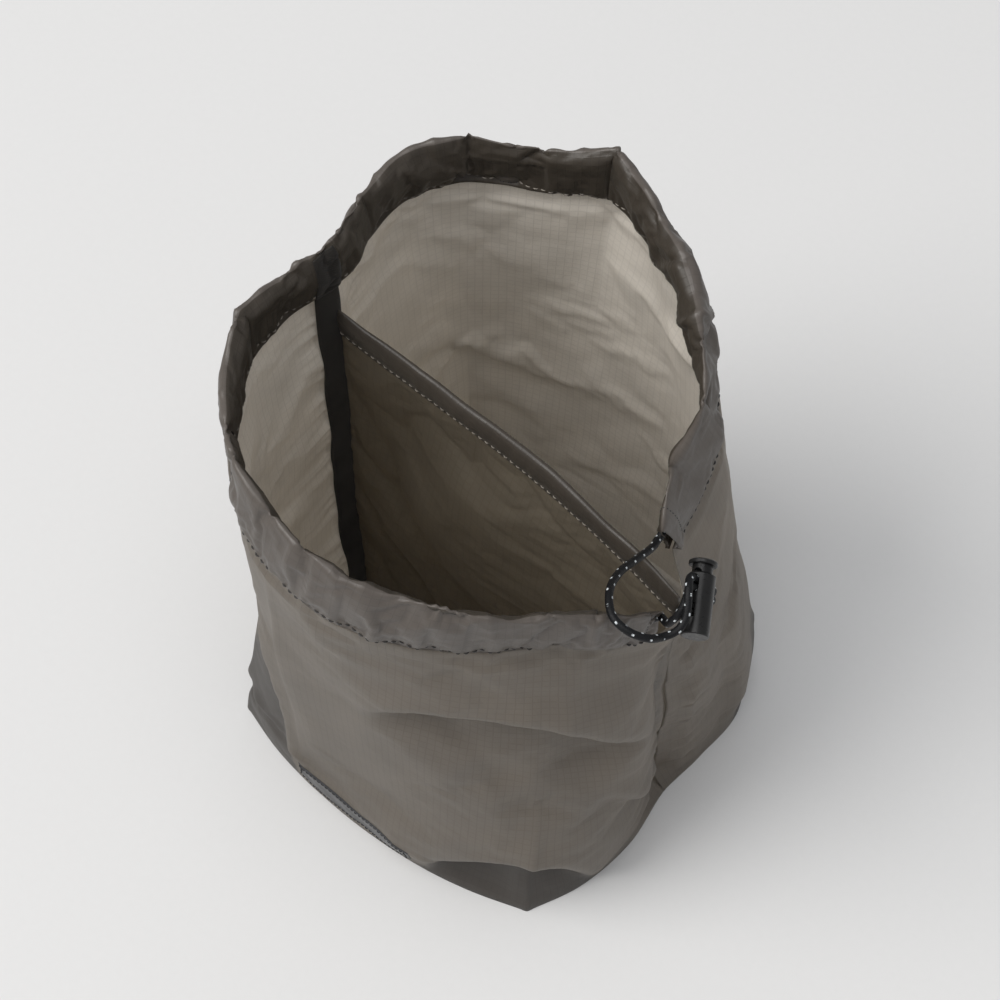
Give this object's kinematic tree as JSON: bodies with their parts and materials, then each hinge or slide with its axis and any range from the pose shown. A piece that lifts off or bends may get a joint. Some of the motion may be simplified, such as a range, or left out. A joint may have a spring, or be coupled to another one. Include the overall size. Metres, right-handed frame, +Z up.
{
  "type": "shoe bag",
  "caption": "Soft drawstring shoe bag standing open on a boxed bottom, split by a hemmed divider, with a cord lock beside its channel mouths.",
  "frame": {"origin": "on the surface the bag stands on, under the middle of the bag's box without the free cord and its lock", "axes": "+Z up; -Y is the front panel with the label; +X is the side seam with the channel mouths and the cord lock"},
  "size_m": [0.1816, 0.185, 0.26],
  "materials": {
    "ripstop": "satin",
    "ripstop_hem": "satin",
    "ripstop_divider": "satin",
    "binding_tape": "matte",
    "label": "matte",
    "cord": "matte",
    "lock_plastic": "satin",
    "spring_steel": "bright"
  },
  "bodies": {
    "bag": {"front_panel": "ripstop", "back_panel": "ripstop", "front_channel": "ripstop_hem", "back_channel": "ripstop_hem", "divider_panel": "ripstop_divider", "divider_hem": "ripstop_divider", "left_seam_tape": "binding_tape", "right_seam_tape": "binding_tape", "left_corner_tape": "binding_tape", "right_corner_tape": "binding_tape", "bottom_seam_tape": "binding_tape", "woven_label": "label", "drawcord_run": "cord", "cord_back_leg": "cord", "cord_front_leg": "cord", "cord_knot": "cord"},
    "cord_lock": {"lock_barrel": "lock_plastic", "lock_spring": "spring_steel"},
    "plunger": {"lock_plunger": "lock_plastic"}
  },
  "joints": [
    {"name": "lock_slide", "type": "slide", "parent": "bag", "child": "cord_lock", "axis": [0.3644, 0.3739, -0.8529], "range_m": [0, 0.003]},
    {"name": "plunger_press", "type": "slide", "parent": "cord_lock", "child": "plunger", "axis": [0.4774, -0.8613, -0.1736], "range_m": [0, 0.0025], "stiffness_N_per_m": 800, "springref_m": -0.001, "deforming": ["lock_spring"]}
  ]
}
